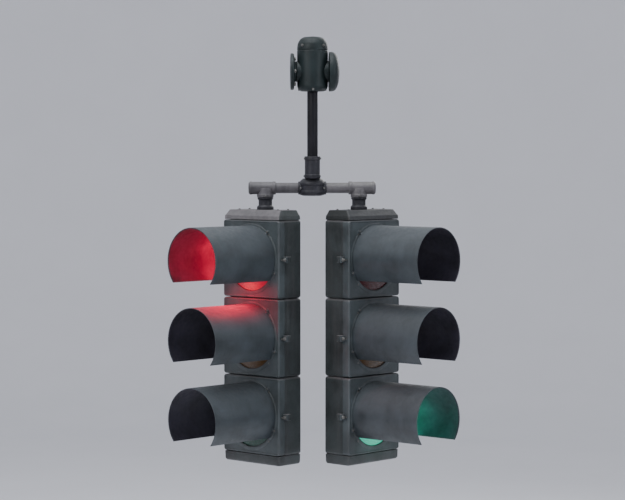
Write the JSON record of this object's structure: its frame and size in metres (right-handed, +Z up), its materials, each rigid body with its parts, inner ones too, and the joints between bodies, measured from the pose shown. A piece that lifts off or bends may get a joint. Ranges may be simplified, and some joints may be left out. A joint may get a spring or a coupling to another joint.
{
  "type": "traffic signal head",
  "caption": "Hanging two-way traffic signal: two heads of red, yellow and green sections with tunnel visors on a spider bracket, drop pipe and swinging mast-arm hanger.",
  "frame": {"origin": "centre of the flange's mating face, on the mast arm's centreline", "axes": "+X along the mast arm away from the pole, +Z up, -Y the front that the two heads face to either side of"},
  "size_m": [1.3118, 0.5996, 1.9424],
  "materials": {
    "cast_aluminium": "satin",
    "axle_steel": "satin",
    "pipe_steel": "satin",
    "nipple_steel": "satin",
    "housing_plastic": "satin",
    "door_plastic": "satin",
    "visor_plastic": "satin",
    "lens_red": "gloss",
    "lens_yellow": "gloss",
    "lens_green": "gloss",
    "reflector_aluminium": "polished",
    "socket_ceramic": "satin",
    "lamp_glass": "gloss",
    "latch_steel": "satin"
  },
  "bodies": {
    "arm_end": {"mast_arm_flange": "cast_aluminium", "pivot_axle": "axle_steel", "end_cap": "cast_aluminium"},
    "hanger": {"hanger_body": "cast_aluminium", "drop_pipe": "pipe_steel", "balance_adjuster": "cast_aluminium", "spider_hub": "cast_aluminium", "bracket_arm_left": "cast_aluminium", "nipple_left": "nipple_steel", "bracket_arm_right": "cast_aluminium", "nipple_right": "nipple_steel"},
    "head_left": {"housing_left_top": "housing_plastic", "reflector_left_top": "reflector_aluminium", "lamp_socket_left_top": "socket_ceramic", "lamp_left_top": "lamp_glass", "housing_left_middle": "housing_plastic", "reflector_left_middle": "reflector_aluminium", "lamp_socket_left_middle": "socket_ceramic", "lamp_left_middle": "lamp_glass", "housing_left_bottom": "housing_plastic", "reflector_left_bottom": "reflector_aluminium", "lamp_socket_left_bottom": "socket_ceramic", "lamp_left_bottom": "lamp_glass"},
    "leaf_left_top": {"door_left_top": "door_plastic", "visor_left_top": "visor_plastic", "lens_left_top": "lens_red"},
    "screw_left_top": {"latch_left_top": "latch_steel"},
    "leaf_left_middle": {"door_left_middle": "door_plastic", "visor_left_middle": "visor_plastic", "lens_left_middle": "lens_yellow"},
    "screw_left_middle": {"latch_left_middle": "latch_steel"},
    "leaf_left_bottom": {"door_left_bottom": "door_plastic", "visor_left_bottom": "visor_plastic", "lens_left_bottom": "lens_green"},
    "screw_left_bottom": {"latch_left_bottom": "latch_steel"},
    "head_right": {"housing_right_top": "housing_plastic", "reflector_right_top": "reflector_aluminium", "lamp_socket_right_top": "socket_ceramic", "lamp_right_top": "lamp_glass", "housing_right_middle": "housing_plastic", "reflector_right_middle": "reflector_aluminium", "lamp_socket_right_middle": "socket_ceramic", "lamp_right_middle": "lamp_glass", "housing_right_bottom": "housing_plastic", "reflector_right_bottom": "reflector_aluminium", "lamp_socket_right_bottom": "socket_ceramic", "lamp_right_bottom": "lamp_glass"},
    "leaf_right_top": {"door_right_top": "door_plastic", "visor_right_top": "visor_plastic", "lens_right_top": "lens_red"},
    "screw_right_top": {"latch_right_top": "latch_steel"},
    "leaf_right_middle": {"door_right_middle": "door_plastic", "visor_right_middle": "visor_plastic", "lens_right_middle": "lens_yellow"},
    "screw_right_middle": {"latch_right_middle": "latch_steel"},
    "leaf_right_bottom": {"door_right_bottom": "door_plastic", "visor_right_bottom": "visor_plastic", "lens_right_bottom": "lens_green"},
    "screw_right_bottom": {"latch_right_bottom": "latch_steel"}
  },
  "joints": [
    {"name": "hanger_swing", "type": "hinge", "parent": "arm_end", "child": "hanger", "pos_m": [0.1, 0, 0], "axis": [1, 0, 0], "range_deg": [-30, 30]},
    {"name": "head_left_aim", "type": "hinge", "parent": "hanger", "child": "head_left", "pos_m": [-0.114, 0.037, -1.205], "axis": [0, 0, 1], "range_deg": [-45, 45]},
    {"name": "door_left_top_open", "type": "hinge", "parent": "head_left", "child": "leaf_left_top", "pos_m": [-0.28724, 0.12256, -0.8494], "axis": [0, 0, -1], "range_deg": [0, 110]},
    {"name": "latch_left_top_turn", "type": "hinge", "parent": "leaf_left_top", "child": "screw_left_top", "pos_m": [-0.03339, -0.14968, -0.8494], "axis": [-0.7071, -0.7071, 0], "continuous": true},
    {"name": "door_left_middle_open", "type": "hinge", "parent": "head_left", "child": "leaf_left_middle", "pos_m": [-0.28724, 0.12256, -1.205], "axis": [0, 0, -1], "range_deg": [0, 110]},
    {"name": "latch_left_middle_turn", "type": "hinge", "parent": "leaf_left_middle", "child": "screw_left_middle", "pos_m": [-0.03339, -0.14968, -1.205], "axis": [-0.7071, -0.7071, 0], "continuous": true},
    {"name": "door_left_bottom_open", "type": "hinge", "parent": "head_left", "child": "leaf_left_bottom", "pos_m": [-0.28724, 0.12256, -1.5606], "axis": [0, 0, -1], "range_deg": [0, 110]},
    {"name": "latch_left_bottom_turn", "type": "hinge", "parent": "leaf_left_bottom", "child": "screw_left_bottom", "pos_m": [-0.03339, -0.14968, -1.5606], "axis": [-0.7071, -0.7071, 0], "continuous": true},
    {"name": "head_right_aim", "type": "hinge", "parent": "hanger", "child": "head_right", "pos_m": [0.314, 0.037, -1.205], "axis": [0, 0, 1], "range_deg": [-45, 45]},
    {"name": "door_right_top_open", "type": "hinge", "parent": "head_right", "child": "leaf_right_top", "pos_m": [0.48724, 0.12256, -0.8494], "axis": [0, 0, 1], "range_deg": [0, 110]},
    {"name": "latch_right_top_turn", "type": "hinge", "parent": "leaf_right_top", "child": "screw_right_top", "pos_m": [0.23339, -0.14968, -0.8494], "axis": [0.7071, -0.7071, 0], "continuous": true},
    {"name": "door_right_middle_open", "type": "hinge", "parent": "head_right", "child": "leaf_right_middle", "pos_m": [0.48724, 0.12256, -1.205], "axis": [0, 0, 1], "range_deg": [0, 110]},
    {"name": "latch_right_middle_turn", "type": "hinge", "parent": "leaf_right_middle", "child": "screw_right_middle", "pos_m": [0.23339, -0.14968, -1.205], "axis": [0.7071, -0.7071, 0], "continuous": true},
    {"name": "door_right_bottom_open", "type": "hinge", "parent": "head_right", "child": "leaf_right_bottom", "pos_m": [0.48724, 0.12256, -1.5606], "axis": [0, 0, 1], "range_deg": [0, 110]},
    {"name": "latch_right_bottom_turn", "type": "hinge", "parent": "leaf_right_bottom", "child": "screw_right_bottom", "pos_m": [0.23339, -0.14968, -1.5606], "axis": [0.7071, -0.7071, 0], "continuous": true}
  ]
}
